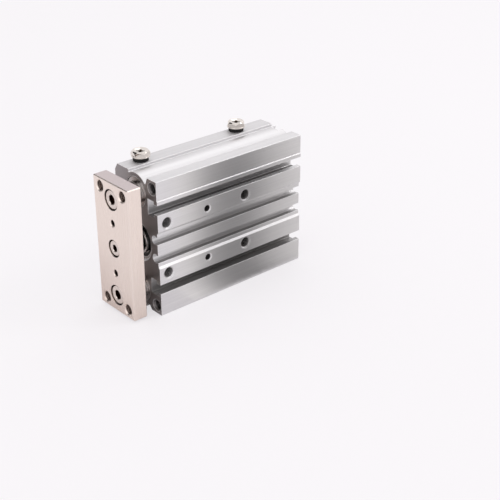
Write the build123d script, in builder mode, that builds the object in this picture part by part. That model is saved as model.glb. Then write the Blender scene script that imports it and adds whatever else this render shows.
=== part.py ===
from build123d import *
import os
from math import sqrt

# A compact guided pneumatic cylinder: an extruded body with one air cylinder between two guide rods,
# and an end plate that the piston rod and both guide rods carry.
# Sizes are in millimetres. The bore runs along Y and the plate faces -Y, so extending moves it to -Y.
# The T slots are on the +X side, the bolt counterbores and the side ports on the -X side.

# Working size
bore = 16.0
stroke = 50.0

# Fits, as radial clearances unless the name says otherwise
running_clearance = 0.03
seal_clearance = 0.05
seat_clearance = 0.01
bolt_clearance = 0.25
thread_clearance = 0.05
cushion_gap = 0.3

# Threads and dowels: radii of tapped cores, of the shanks that screw into them, and of dowel holes
m5_core_radius = 2.1
m5_mouth_radius = 2.9
m5_shank_radius = 2.5
m4_core_radius = 1.65
m4_shank_radius = 2.0
dowel_radius = 1.5
dowel_mouth_radius = 1.9
dowel_depth = 5.0

# Body extrusion
body_width = 30.0
body_height = 64.0
body_beyond_stroke = 33.0
corner_radius = 0.25
guide_inset = 9.0

# End plate
plate_width = 25.0
plate_inset = 1.0
plate_thickness = 7.0
plate_gap = 6.0
plate_edge = 0.35
plate_bolt_pitch_x = 16.0
plate_bolt_inset = 4.0
dowel_pitch = 24.0

# Rods and the end plate's bolts
piston_rod_diameter = 8.0
guide_rod_diameter = 10.0
guide_rod_recess = 3.0
rod_edge = 0.6
guide_head_radius = 4.25
guide_head_height = 3.9
guide_hex = 4.0
rod_head_radius = 3.5
rod_head_height = 3.4
rod_hex = 3.0
head_recess = 0.4
head_clearance = 0.6
hex_depth = 2.2
bolt_grip = 12.0
thread_spare = 2.0

# Long grooves in the +X side: two T slots, and a pair of sensor grooves on either side
slot_inset = 13.0
slot_mouth = 4.4
slot_chamber = 7.4
slot_lip = 2.5
slot_depth = 6.7
groove_pitch = 8.8
groove_diameter = 4.2
groove_depth = 4.0
groove_mouth = 3.5
strip_recess = 0.8
middle_mouth = 17.6
middle_floor = 15.6
lip_step = 0.3
lip_step_rise = 23.0

# Long pockets in the -X side, as heights above or below the bore's axis, but the foot's from below
pocket_depth = 3.8
strip_half = 9.4
valley_low = 12.0
valley_high = 13.2
valley_mouth = 16.4
valley_blend = 2.2
pocket_high = 10.6
pocket_bottom = 10.2
pocket_foot = 7.5

# Top and underside
top_bevel_width = 1.9
top_bevel_drop = 3.0
port_pad_edge = 5.0
boss_drop = 0.1
block_edge = 8.4
gully_edge = 7.0
notch_offset = 5.6
notch_width = 4.2
notch_floor = 1.6
notch_depth = 1.8

# Bolt holes across the body, and threads in its end faces
side_bolt_pitch_y = 44.0
side_bolt_drop = 7.0
side_bolt_inset = 5.0
through_radius = 2.15
counterbore_radius = 4.0
counterbore_depth = 4.5
end_bolt_inset = 4.0
front_thread_inset = 3.4
end_thread_depth = 12.0
rear_dowel_pitch = 25.0

# Ports and air passages
port_drop = 10.5
port_thread_depth = 5.0
top_port_inset = 5.5
top_port_depth = 6.0
front_port_inset = 10.0
rear_port_inset = 6.5
rear_top_port_inset = 18.5
passage_radius = 1.0
ball_radius = 1.5
plug_flange_radius = 4.2
plug_flange_height = 0.6
plug_hex = 7.5
plug_head_height = 2.2
plug_rim_radius = 3.4
plug_dish_radius = 2.8
plug_dish_depth = 0.5
plug_cross_length = 4.0
plug_cross_width = 1.1
plug_cross_depth = 1.5
plug_turns = [48.8, -41.2]
plug_shank_length = 4.5
gasket_radius = 3.5
gasket_thickness = 1.9

# Covers, retaining rings and seals in the bore
ring_thickness = 1.0
ring_radial = 1.9
ring_groove_depth = 0.6
ring_gap = 3.0
ring_lug_radius = 1.1
ring_lug_hole = 0.5
front_ring_inset = 1.5
rear_ring_inset = 1.2
bore_mouth = 0.5
front_seat_radius = 9.2
front_seat_depth = 1.1
rod_cover_flange_share = 0.46
rod_cover_nose = 6.1
rod_cover_nose_recess = 0.3
spigot_radius = 6.7
head_cover_length = 5.2
head_cover_flange = 3.2
o_ring_section = 1.5
o_ring_groove_width = 1.9
rear_o_ring_section = 1.2
rear_o_ring_groove_width = 1.6
rod_seal_radius = 5.2
rod_seal_length = 2.8
rod_seal_web = 1.0
bush_wall = 1.0
bush_margin = 1.6
bumper_outer = 6.2
bumper_inner = 4.7
front_bumper_thickness = 1.2
rear_bumper_thickness = 1.2
bumper_seat = 0.8

# Piston: its length as a share of the body's length beyond the stroke, and its widths as shares of that
piston_share = 0.306
piston_disc_share = 0.2
magnet_share = 0.28
piston_land_share = 0.13
piston_seal_share = 0.23
piston_neck_radius = 2.5
piston_clearance = 0.08
piston_edge = 0.65
piston_seal_section = 2.0
magnet_hub_radius = 4.6
rivet_radius = 3.6
rivet_height = 1.1

# Guides
bearing_radius = 6.5
bearing_length = 11.0
bearing_gap = 2.0
guide_bore_radius = 5.5
guide_mouth = 0.5
vent_width = 5.0
vent_depth = 3.0
felt_thickness = 1.5
holder_radius = 7.0
holder_length = 2.4
holder_recess = 0.3

# Places along Y, with the whole part centred when retracted
body_length = stroke + body_beyond_stroke
total_length = plate_thickness + plate_gap + body_length
plate_front = -total_length / 2
plate_back = plate_front + plate_thickness
body_front = plate_back + plate_gap
body_rear = body_front + body_length
side_bolt_centre = body_front + side_bolt_inset + side_bolt_pitch_y / 2
front_port_y = body_front + front_port_inset
rear_port_y = body_rear - rear_port_inset
rear_top_port_y = body_rear - rear_top_port_inset
head_cover_rear = body_rear - rear_ring_inset - ring_thickness
head_cover_front = head_cover_rear - head_cover_length
piston_rear = head_cover_front - rear_bumper_thickness - cushion_gap
piston_length = piston_share * body_beyond_stroke
piston_front = piston_rear - piston_length
rod_cover_front = body_front + front_ring_inset + ring_thickness
rod_cover_rear = piston_front - stroke - cushion_gap - front_bumper_thickness
holder_front = body_front + holder_recess
felt_front = holder_front + holder_length
bearing_front = felt_front + felt_thickness
inner_bearing_front = bearing_front + bearing_length + bearing_gap
guide_rod_rear = body_rear - guide_rod_recess

# Heights, and places along X
axis_height = body_height / 2
guide_heights = {"lower": guide_inset, "upper": body_height - guide_inset}
port_height = body_height - port_drop
boss_radius = guide_inset - boss_drop
slot_heights = [slot_inset, body_height - slot_inset]
plate_height = body_height - 2 * plate_inset
top_port_x = top_port_inset - body_width / 2

# Pitches of holes
plate_bolt_pitch_z = plate_height - 2 * plate_bolt_inset
side_bolt_pitch_z = body_height - 2 * slot_inset - 2 * side_bolt_drop
end_bolt_pitch_x = body_width - 2 * end_bolt_inset
end_bolt_pitch_z = body_height - 2 * end_bolt_inset

# Radii that follow from the fits
bore_radius = bore / 2
piston_rod_radius = piston_rod_diameter / 2
guide_rod_radius = guide_rod_diameter / 2
ring_groove_radius = bore_radius + ring_groove_depth
ring_radius = ring_groove_radius - seal_clearance
cover_radius = bore_radius - seat_clearance
bush_radius = piston_rod_radius + running_clearance + bush_wall
guide_head_bore = guide_head_radius + head_clearance
rod_head_bore = rod_head_radius + head_clearance

os.makedirs("parts", exist_ok=True)


def line_along_y(height):
    """The line along Y above the middle of the body's foot."""
    return Axis((0, 0, height), (0, 1, 0))


def facing_plate(y):
    """A plane across the part, with X to the right and Z up, whose normal points to the plate."""
    return Plane.XZ.offset(-y)


def facing_rear(y):
    """A plane across the part whose normal points away from the plate, with Z up."""
    return Plane(origin=(0, y, 0), x_dir=(-1, 0, 0), z_dir=(0, 1, 0))


def spin(outline, height=axis_height, mode=Mode.ADD):
    """Turns a closed outline of (y, radius) points about a line along Y into the piece being built."""
    with BuildSketch(Plane.YZ) as half_section:
        with BuildLine():
            Polyline([(y, height + radius) for y, radius in outline], close=True)
        make_face()
    revolve(half_section.sketch, axis=line_along_y(height), mode=mode)


def sleeve(front, rear, outer, inner, edge=0.0):
    """The outline of a plain sleeve, whose front corner may be bevelled by edge."""
    front_corner = [(front, outer - edge), (front + edge, outer)] if edge else [(front, outer)]
    return [(front, inner), *front_corner, (rear, outer), (rear, inner)]


def cut_outline(*points):
    """Cuts a closed outline out of the sketch being drawn."""
    with BuildSketch(mode=Mode.PRIVATE) as outline:
        with BuildLine():
            Polyline(*points, close=True)
        make_face()
    add(outline.sketch, mode=Mode.SUBTRACT)


def soften(sketch, points, radius):
    """Rounds the corners of a sketch that lie at the given points."""
    corners = [sketch.vertices().sort_by_distance(point)[0] for point in points]
    fillet(corners, radius=radius)


# Body

def cut_t_slot(height):
    """A T slot that opens to +X."""
    half_mouth = slot_mouth / 2
    half_chamber = slot_chamber / 2
    face = body_width / 2
    lip = face - slot_lip
    floor = face - slot_depth
    cut_outline(
        (face, height - half_mouth),
        (face, height + half_mouth),
        (lip, height + half_mouth),
        (lip, height + half_chamber),
        (floor, height + half_chamber),
        (floor, height - half_chamber),
        (lip, height - half_chamber),
        (lip, height - half_mouth),
    )


def cut_sensor_groove(side, height):
    """A round sensor groove with a narrower mouth, in the sunk strip of one side."""
    face = body_width / 2 - strip_recess
    centre = face - groove_depth + groove_diameter / 2
    with Locations((side * centre, height)):
        Circle(groove_diameter / 2, mode=Mode.SUBTRACT)
    with Locations((side * (face + centre) / 2, height)):
        Rectangle(face - centre, groove_mouth, mode=Mode.SUBTRACT)


with BuildPart() as body:
    with BuildSketch(facing_plate(body_rear)) as profile:
        with Locations((0, axis_height)):
            Rectangle(body_width, body_height)

        # The +X side: two T slots, and a shallow dip between them for the sensor grooves
        face = body_width / 2
        strip = face - strip_recess
        cut_outline(
            (face, axis_height - middle_mouth / 2),
            (strip, axis_height - middle_floor / 2),
            (strip, axis_height + middle_floor / 2),
            (face, axis_height + middle_mouth / 2),
        )
        for height in slot_heights:
            cut_t_slot(height)

        # The -X side: a valley under the ports, the sunk strip, and a deep pocket above the foot
        pocket = face - pocket_depth
        valley_corner = (-face, axis_height + valley_mouth)
        cut_outline(
            valley_corner,
            (-pocket, axis_height + valley_high),
            (-pocket, axis_height + valley_low),
            (-strip, axis_height + strip_half),
            (-strip, axis_height - strip_half),
            (-pocket, axis_height - pocket_high),
            (-pocket, pocket_bottom),
            (-face, pocket_foot),
        )

        # The top: a bevel, the port pad, the round back of the guide boss, and a corner block
        cut_outline(
            (-face, body_height),
            (-face, body_height - top_bevel_drop),
            (-face + top_bevel_width, body_height),
        )
        upper = guide_heights["upper"]
        pad_foot = (-port_pad_edge, upper + sqrt(boss_radius**2 - port_pad_edge**2))
        gully_foot = (gully_edge, upper + sqrt(boss_radius**2 - gully_edge**2))
        with BuildSketch(mode=Mode.PRIVATE) as above_boss:
            with BuildLine():
                Polyline(
                    pad_foot,
                    (-port_pad_edge, body_height + 1),
                    (block_edge, body_height + 1),
                    (block_edge, body_height),
                    gully_foot,
                )
                ThreePointArc(gully_foot, (0, upper + boss_radius), pad_foot)
            make_face()
        add(above_boss.sketch, mode=Mode.SUBTRACT)

        # The underside: two notches beside the lower guide boss
        for side in (-1, 1):
            middle = side * notch_offset
            cut_outline(
                (middle - notch_width / 2, 0),
                (middle - notch_floor / 2, notch_depth),
                (middle + notch_floor / 2, notch_depth),
                (middle + notch_width / 2, 0),
            )
        soften(profile, [valley_corner], valley_blend)
        fillet(profile.vertices(), radius=corner_radius)

        # The corner block stands back a little above the upper T slot's lip
        lip_top = axis_height + lip_step_rise
        block_top = (face - lip_step, body_height)
        cut_outline((face, lip_top), (face - lip_step, lip_top + lip_step), block_top, (face, body_height))
        soften(profile, [block_top], corner_radius)

        # The sensor grooves in both sunk strips, with rounded lips
        groove_heights = [axis_height + rise for rise in (-groove_pitch / 2, groove_pitch / 2)]
        for side in (-1, 1):
            for height in groove_heights:
                cut_sensor_groove(side, height)
                lips = [(side * strip, height + rise) for rise in (-groove_mouth / 2, groove_mouth / 2)]
                soften(profile, lips, corner_radius)
    extrude(amount=body_length)

    # The cylinder's bore, with a retaining ring's groove at either end and a wider mouth in front
    front_groove = body_front + front_ring_inset
    rear_groove = body_rear - rear_ring_inset
    spin(
        [
            (body_front, 0),
            (body_front, front_seat_radius + bore_mouth),
            (body_front + bore_mouth, front_seat_radius),
            (body_front + front_seat_depth, front_seat_radius),
            (body_front + front_seat_depth, bore_radius),
            (front_groove, bore_radius),
            (front_groove, ring_groove_radius),
            (front_groove + ring_thickness, ring_groove_radius),
            (front_groove + ring_thickness, bore_radius),
            (rear_groove - ring_thickness, bore_radius),
            (rear_groove - ring_thickness, ring_groove_radius),
            (rear_groove, ring_groove_radius),
            (rear_groove, bore_radius),
            (body_rear - bore_mouth, bore_radius),
            (body_rear, bore_radius + bore_mouth),
            (body_rear, 0),
        ],
        mode=Mode.SUBTRACT,
    )

    # The guide bores: the holder's seat, the bearings' seat, and a plain bore to the rear
    bearing_seat_rear = inner_bearing_front + bearing_length
    for height in guide_heights.values():
        spin(
            [
                (body_front, 0),
                (body_front, holder_radius),
                (felt_front, holder_radius),
                (felt_front, bearing_radius),
                (bearing_seat_rear, bearing_radius),
                (bearing_seat_rear, guide_bore_radius),
                (body_rear - guide_mouth, guide_bore_radius),
                (body_rear, guide_bore_radius + guide_mouth),
                (body_rear, 0),
            ],
            height,
            mode=Mode.SUBTRACT,
        )

    # A vent notch in the rear face, from the upper guide bore out through the top
    with BuildSketch(facing_plate(body_rear)):
        with Locations((0, (guide_heights["upper"] + body_height) / 2)):
            Rectangle(vent_width, body_height - guide_heights["upper"])
    extrude(amount=vent_depth, mode=Mode.SUBTRACT)

    # Bolt holes right through the body: tapped from +X, counterbored from -X
    tapped_side = Plane(origin=(face, side_bolt_centre, axis_height), x_dir=(0, 1, 0), z_dir=(1, 0, 0))
    bored_side = Plane(origin=(-face, side_bolt_centre, axis_height), x_dir=(0, -1, 0), z_dir=(-1, 0, 0))
    with Locations(tapped_side):
        with GridLocations(side_bolt_pitch_y, side_bolt_pitch_z, 2, 2):
            CounterSinkHole(through_radius, m5_mouth_radius, body_width - counterbore_depth, 90)
        with GridLocations(side_bolt_pitch_y, side_bolt_pitch_z, 1, 2):
            CounterSinkHole(dowel_radius, dowel_mouth_radius, dowel_depth, 90)
    with Locations(bored_side):
        with GridLocations(side_bolt_pitch_y, side_bolt_pitch_z, 2, 2):
            Hole(counterbore_radius, counterbore_depth)

    # Threads and dowel holes in the rear face, and two front threads nearer to the slotted side
    end_plane = facing_rear(body_rear)
    with Locations(end_plane):
        with Locations((0, axis_height)):
            with GridLocations(end_bolt_pitch_x, end_bolt_pitch_z, 2, 2):
                CounterSinkHole(m5_core_radius, m5_mouth_radius, end_thread_depth, 90)
            with GridLocations(0, rear_dowel_pitch, 1, 2):
                CounterSinkHole(dowel_radius, dowel_mouth_radius, dowel_depth, 90)
    with Locations(facing_plate(body_front)):
        with Locations((face - front_thread_inset, axis_height)):
            with GridLocations(0, end_bolt_pitch_z, 1, 2):
                CounterSinkHole(m5_core_radius, m5_mouth_radius, end_thread_depth, 90)

    # Ports: two open ones in the -X side, two plugged ones on top
    side_ports = [(-face, y, port_height) for y in (front_port_y, rear_port_y)]
    top_ports = [(top_port_x, y, body_height) for y in (front_port_y, rear_top_port_y)]
    for place in side_ports:
        with Locations(Plane(origin=place, z_dir=(-1, 0, 0))):
            CounterSinkHole(m5_core_radius, m5_mouth_radius, port_thread_depth, 90)
    for place in top_ports:
        with Locations(Plane(origin=place, z_dir=(0, 0, 1))):
            Hole(m5_core_radius, top_port_depth)
            Hole(passage_radius, port_drop + passage_radius)

    # Air passages: a slanting drilling from each side port to the bore, and one drilling along Y
    # that joins the rear ports and is closed by a ball in the rear face
    drill_start = Vector(-face + port_thread_depth - m5_core_radius, 0, port_height)
    drill_end = Vector(-bore_radius / 2, 0, axis_height + bore_radius / 2)
    drill_line = drill_start - drill_end
    for place in side_ports:
        start = drill_start + Vector(0, place[1], 0)
        with Locations(Plane(origin=start, z_dir=drill_end - drill_start)):
            sunk = (Align.CENTER, Align.CENTER, Align.MIN)
            Cylinder(passage_radius, drill_line.length, align=sunk, mode=Mode.SUBTRACT)
    with Locations(end_plane):
        with Locations((-top_port_x, port_height)):
            Hole(passage_radius, body_rear - rear_top_port_y + passage_radius)
            Hole(ball_radius + seat_clearance, 2 * ball_radius)
body.part.label = "body"
export_step(body.part, "parts/body.step")

with BuildPart() as passage_ball:
    with Locations((top_port_x, body_rear - ball_radius, port_height)):
        Sphere(ball_radius)
passage_ball.part.label = "passage_ball"
export_step(passage_ball.part, "parts/passage_ball.step")


# Port plugs and their gaskets

flange_base = body_height + gasket_thickness
plug_top = flange_base + plug_flange_height + plug_head_height
plug_spots = [(x, y) for x, y, _ in top_ports]

with BuildPart() as port_plugs:
    for (plug_x, plug_y), turn in zip(plug_spots, plug_turns):
        shank_end = Plane(origin=(plug_x, plug_y, body_height - plug_shank_length))
        flange = Plane(origin=(plug_x, plug_y, flange_base))
        top = Plane(origin=(plug_x, plug_y, plug_top))
        beside = Plane(origin=(plug_x, plug_y, plug_top), x_dir=(1, 0, 0), z_dir=(0, -1, 0))
        with BuildSketch(shank_end):
            Circle(m5_core_radius - thread_clearance)
        extrude(amount=plug_shank_length + gasket_thickness)
        with BuildSketch(flange):
            Circle(plug_flange_radius)
        extrude(amount=plug_flange_height)
        with BuildSketch(flange.offset(plug_flange_height)):
            RegularPolygon(plug_hex / 2, 6, major_radius=False, rotation=turn + 30)
        extrude(amount=plug_head_height)
        with BuildSketch(beside):
            with BuildLine():
                Polyline(
                    (plug_rim_radius, 0),
                    (plug_hex, 0),
                    (plug_hex, plug_rim_radius - plug_hex),
                    close=True,
                )
            make_face()
        revolve(axis=Axis((plug_x, plug_y, 0), (0, 0, 1)), mode=Mode.SUBTRACT)
        with BuildSketch(top):
            Circle(plug_dish_radius)
        extrude(amount=-plug_dish_depth, mode=Mode.SUBTRACT)
        with BuildSketch(top):
            Rectangle(plug_cross_length, plug_cross_width, rotation=turn)
            Rectangle(plug_cross_width, plug_cross_length, rotation=turn)
        extrude(amount=-plug_cross_depth, mode=Mode.SUBTRACT)
port_plugs.part.label = "port_plugs"
export_step(port_plugs.part, "parts/port_plugs.step")

with BuildPart() as port_gaskets:
    with BuildSketch(Plane.XY.offset(body_height)):
        with Locations(*plug_spots):
            Circle(gasket_radius)
            Circle(m5_shank_radius, mode=Mode.SUBTRACT)
    extrude(amount=gasket_thickness)
port_gaskets.part.label = "port_gaskets"
export_step(port_gaskets.part, "parts/port_gaskets.step")


# Rod cover, with its bush, seal, ring and bumper

nose_front = body_front + rod_cover_nose_recess
flange_rear = rod_cover_front + rod_cover_flange_share * (rod_cover_rear - rod_cover_front)
bumper_front = rod_cover_rear - bumper_seat
seal_rear = nose_front + rod_seal_length
bush_front = seal_rear + rod_seal_web
bush_rear = bumper_front - bush_margin
web_radius = piston_rod_radius + bush_wall / 2
o_ring_floor = cover_radius - o_ring_section + 2 * seal_clearance
o_ring_front = (rod_cover_front + flange_rear - o_ring_groove_width) / 2
o_ring_rear = o_ring_front + o_ring_groove_width

with BuildPart() as rod_cover:
    spin(
        [
            (nose_front, rod_seal_radius),
            (nose_front, rod_cover_nose),
            (rod_cover_front, rod_cover_nose),
            (rod_cover_front, cover_radius),
            (o_ring_front, cover_radius),
            (o_ring_front, o_ring_floor),
            (o_ring_rear, o_ring_floor),
            (o_ring_rear, cover_radius),
            (flange_rear, cover_radius),
            (flange_rear, spigot_radius),
            (rod_cover_rear, spigot_radius),
            (rod_cover_rear, bumper_outer),
            (bumper_front, bumper_outer),
            (bumper_front, bush_radius),
            (bush_front, bush_radius),
            (bush_front, web_radius),
            (seal_rear, web_radius),
            (seal_rear, rod_seal_radius),
        ]
    )
rod_cover.part.label = "rod_cover"
export_step(rod_cover.part, "parts/rod_cover.step")

with BuildPart() as rod_bush:
    bush_outer = bush_radius - seat_clearance
    bush_inner = piston_rod_radius + running_clearance
    spin(sleeve(bush_front, bush_rear, bush_outer, bush_inner))
rod_bush.part.label = "rod_bush"
export_step(rod_bush.part, "parts/rod_bush.step")

with BuildPart() as rod_seal:
    lip = piston_rod_radius + seal_clearance
    heel = rod_seal_radius - seat_clearance
    middle = (lip + heel) / 2
    notch = rod_seal_length / 3
    spin(
        [
            (nose_front + notch, lip),
            (nose_front, (lip + middle) / 2),
            (nose_front + notch, middle),
            (nose_front, heel),
            (seal_rear, heel),
            (seal_rear, lip),
        ]
    )
rod_seal.part.label = "rod_seal"
export_step(rod_seal.part, "parts/rod_seal.step")

with BuildPart() as rod_cover_o_ring:
    with BuildSketch(Plane.YZ):
        section_radius = (cover_radius - o_ring_floor) / 2 - seat_clearance
        with Locations(((o_ring_front + o_ring_rear) / 2, axis_height + (cover_radius + o_ring_floor) / 2)):
            Circle(section_radius)
    revolve(axis=line_along_y(axis_height))
rod_cover_o_ring.part.label = "rod_cover_o_ring"
export_step(rod_cover_o_ring.part, "parts/rod_cover_o_ring.step")

with BuildPart() as front_bumper:
    front_bumper_rear = rod_cover_rear + front_bumper_thickness
    spin(sleeve(bumper_front, front_bumper_rear, bumper_outer - seat_clearance, bush_radius))
front_bumper.part.label = "front_bumper"
export_step(front_bumper.part, "parts/front_bumper.step")


# Head cover, with its ring and bumper

head_flange_front = head_cover_rear - head_cover_flange
rear_floor = cover_radius - rear_o_ring_section + 2 * seal_clearance
rear_o_ring_middle = (head_flange_front + head_cover_rear) / 2
rear_o_ring_front = rear_o_ring_middle - rear_o_ring_groove_width / 2
rear_o_ring_rear = rear_o_ring_middle + rear_o_ring_groove_width / 2
rear_bumper_front = head_cover_front - rear_bumper_thickness
rear_bumper_rear = head_cover_front + bumper_seat

with BuildPart() as head_cover:
    spin(
        [
            (head_cover_rear, 0),
            (head_cover_rear, cover_radius),
            (rear_o_ring_rear, cover_radius),
            (rear_o_ring_rear, rear_floor),
            (rear_o_ring_front, rear_floor),
            (rear_o_ring_front, cover_radius),
            (head_flange_front, cover_radius),
            (head_flange_front, spigot_radius),
            (head_cover_front, spigot_radius),
            (head_cover_front, bumper_outer),
            (rear_bumper_rear, bumper_outer),
            (rear_bumper_rear, bumper_inner),
            (head_cover_front, bumper_inner),
            (head_cover_front, 0),
        ]
    )
head_cover.part.label = "head_cover"
export_step(head_cover.part, "parts/head_cover.step")

with BuildPart() as head_cover_o_ring:
    with BuildSketch(Plane.YZ):
        rear_section_radius = (cover_radius - rear_floor) / 2 - seat_clearance
        with Locations((rear_o_ring_middle, axis_height + (cover_radius + rear_floor) / 2)):
            Circle(rear_section_radius)
    revolve(axis=line_along_y(axis_height))
head_cover_o_ring.part.label = "head_cover_o_ring"
export_step(head_cover_o_ring.part, "parts/head_cover_o_ring.step")

with BuildPart() as rear_bumper:
    rear_bumper_outer = bumper_outer - seat_clearance
    rear_bumper_inner = bumper_inner + seat_clearance
    spin(sleeve(rear_bumper_front, rear_bumper_rear, rear_bumper_outer, rear_bumper_inner))
rear_bumper.part.label = "rear_bumper"
export_step(rear_bumper.part, "parts/rear_bumper.step")


# Retaining rings: open rings with an eyed lug at either end, whose gap faces -X

def draw_ring():
    """A retaining ring, drawn about the bore's axis."""
    inner = ring_radius - ring_radial
    lug_distance = ring_radius - ring_lug_radius
    with Locations((0, axis_height)):
        Circle(ring_radius)
        Circle(inner, mode=Mode.SUBTRACT)
    lug_rise = ring_gap / 2 + ring_lug_radius
    lugs = [(-sqrt(lug_distance**2 - lug_rise**2), axis_height + side * lug_rise) for side in (-1, 1)]
    with Locations(*lugs):
        Circle(ring_lug_radius)
        Circle(ring_lug_hole, mode=Mode.SUBTRACT)
    with Locations((-ring_radius, axis_height)):
        Rectangle(2 * ring_radial + 2 * ring_lug_radius, ring_gap, mode=Mode.SUBTRACT)


for end, groove_rear in (("front", rod_cover_front), ("rear", body_rear - rear_ring_inset)):
    with BuildPart() as ring:
        with BuildSketch(facing_plate(groove_rear)):
            draw_ring()
        extrude(amount=ring_thickness)
    ring.part.label = f"{end}_retaining_ring"
    export_step(ring.part, f"parts/{end}_retaining_ring.step")


# Guides: two bearings, an oiled felt and its holder around each guide rod

for name, height in guide_heights.items():
    bearing_outer = bearing_radius - seat_clearance
    bearing_inner = guide_rod_radius + running_clearance
    for row, front in (("front", bearing_front), ("inner", inner_bearing_front)):
        with BuildPart() as bearing:
            spin(sleeve(front, front + bearing_length, bearing_outer, bearing_inner), height)
        bearing.part.label = f"{row}_guide_bearing_{name}"
        export_step(bearing.part, f"parts/{row}_guide_bearing_{name}.step")

    with BuildPart() as felt:
        felt_inner = guide_rod_radius + seal_clearance
        spin(sleeve(felt_front, bearing_front, bearing_outer, felt_inner), height)
    felt.part.label = f"guide_felt_{name}"
    export_step(felt.part, f"parts/guide_felt_{name}.step")

    with BuildPart() as holder:
        holder_outer = holder_radius - seat_clearance
        holder_inner = guide_rod_radius + 2 * seal_clearance
        spin(sleeve(holder_front, felt_front, holder_outer, holder_inner, holder_recess), height)
    holder.part.label = f"felt_holder_{name}"
    export_step(holder.part, f"parts/felt_holder_{name}.step")


# End plate

guide_head_seat = plate_front + head_recess + guide_head_height
rod_head_seat = plate_front + head_recess + rod_head_height

with BuildPart() as plate:
    with BuildSketch(facing_plate(plate_back)):
        with Locations((0, axis_height)):
            Rectangle(plate_width, plate_height)
    extrude(amount=plate_thickness)
    chamfer(plate.edges(), length=plate_edge)
    with Locations(facing_plate(plate_front)):
        with Locations((0, axis_height)):
            with GridLocations(0, guide_heights["upper"] - guide_heights["lower"], 1, 2):
                CounterBoreHole(
                    m5_shank_radius + bolt_clearance, guide_head_bore, guide_head_seat - plate_front
                )
            CounterBoreHole(m4_shank_radius + bolt_clearance, rod_head_bore, rod_head_seat - plate_front)
            with GridLocations(plate_bolt_pitch_x, plate_bolt_pitch_z, 2, 2):
                CounterSinkHole(m5_core_radius, m5_mouth_radius, counter_sink_angle=90)
            with GridLocations(0, dowel_pitch, 1, 2):
                CounterSinkHole(dowel_radius, dowel_mouth_radius, dowel_depth, 90)
plate.part.label = "plate"
export_step(plate.part, "parts/plate.step")


# Guide rods and the piston rod, each with a tapped hole for its bolt

def threaded_rod(front, rear, radius, core_radius, thread_depth, height):
    """A ground rod with bevelled ends and a tapped hole in its front end."""
    spin(
        [
            (front, 0),
            (front, radius - rod_edge),
            (front + rod_edge, radius),
            (rear - rod_edge, radius),
            (rear, radius - rod_edge),
            (rear, 0),
        ],
        height,
    )
    spin(sleeve(front, front + thread_depth, core_radius, 0), height, mode=Mode.SUBTRACT)


guide_thread = bolt_grip + thread_spare
for name, height in guide_heights.items():
    with BuildPart() as guide_rod:
        threaded_rod(plate_back, guide_rod_rear, guide_rod_radius, m5_core_radius, guide_thread, height)
    guide_rod.part.label = f"guide_rod_{name}"
    export_step(guide_rod.part, f"parts/guide_rod_{name}.step")

rivet_rear = piston_rear
rivet_front = rivet_rear - rivet_height
with BuildPart() as piston_rod:
    threaded_rod(plate_back, piston_front, piston_rod_radius, m4_core_radius, guide_thread, axis_height)
    spin(
        [
            (piston_front - rod_edge, 0),
            (piston_front - rod_edge, piston_neck_radius),
            (rivet_front, piston_neck_radius),
            (rivet_rear, rivet_radius - 2 * seat_clearance),
            (rivet_rear, 0),
        ]
    )
piston_rod.part.label = "piston_rod"
export_step(piston_rod.part, "parts/piston_rod.step")


# Socket bolts that hold the rods to the end plate

def socket_bolt(seat, head_radius, head_height, shank_radius, core_radius, hex_width, height):
    """A low socket bolt whose head sits at seat and points to -Y."""
    head_front = seat - head_height
    bevel = head_recess / 2
    spin(
        [
            (head_front, 0),
            (head_front, head_radius - bevel),
            (head_front + bevel, head_radius),
            (seat, head_radius),
            (seat, shank_radius),
            (plate_back, shank_radius),
            (plate_back, core_radius - thread_clearance),
            (plate_back + bolt_grip, core_radius - thread_clearance),
            (plate_back + bolt_grip, 0),
        ],
        height,
    )
    with BuildSketch(facing_rear(head_front)) as socket:
        with Locations((0, height)):
            RegularPolygon(hex_width / 2, 6, major_radius=False)
    extrude(socket.sketch, amount=hex_depth, mode=Mode.SUBTRACT)


with BuildPart() as guide_rod_bolts:
    for height in guide_heights.values():
        socket_bolt(
            guide_head_seat,
            guide_head_radius,
            guide_head_height,
            m5_shank_radius,
            m5_core_radius,
            guide_hex,
            height,
        )
guide_rod_bolts.part.label = "guide_rod_bolts"
export_step(guide_rod_bolts.part, "parts/guide_rod_bolts.step")

with BuildPart() as piston_rod_bolt:
    socket_bolt(
        rod_head_seat,
        rod_head_radius,
        rod_head_height,
        m4_shank_radius,
        m4_core_radius,
        rod_hex,
        axis_height,
    )
piston_rod_bolt.part.label = "piston_rod_bolt"
export_step(piston_rod_bolt.part, "parts/piston_rod_bolt.step")


# Piston: a front half with the seal and the magnet on its hub, and a disc that the rod's rivet holds

piston_radius = bore_radius - piston_clearance
piston_seal_floor = bore_radius - piston_seal_section
disc_front = piston_rear - piston_disc_share * piston_length
magnet_front = disc_front - magnet_share * piston_length
seal_behind = magnet_front - piston_land_share * piston_length
seal_front = seal_behind - piston_seal_share * piston_length
neck_bore = piston_neck_radius + seat_clearance

with BuildPart() as piston:
    spin(
        [
            (piston_front, neck_bore),
            (piston_front, piston_radius - piston_edge),
            (piston_front + piston_edge, piston_radius),
            (seal_front, piston_radius),
            (seal_front, piston_seal_floor),
            (seal_behind, piston_seal_floor),
            (seal_behind, piston_radius),
            (magnet_front, piston_radius),
            (magnet_front, magnet_hub_radius),
            (disc_front, magnet_hub_radius),
            (disc_front, neck_bore),
        ]
    )
piston.part.label = "piston"
export_step(piston.part, "parts/piston.step")

with BuildPart() as piston_disc:
    spin(
        [
            (disc_front, neck_bore),
            (disc_front, piston_radius),
            (piston_rear, piston_radius),
            (piston_rear, rivet_radius),
            (rivet_front, neck_bore),
        ]
    )
piston_disc.part.label = "piston_disc"
export_step(piston_disc.part, "parts/piston_disc.step")

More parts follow.
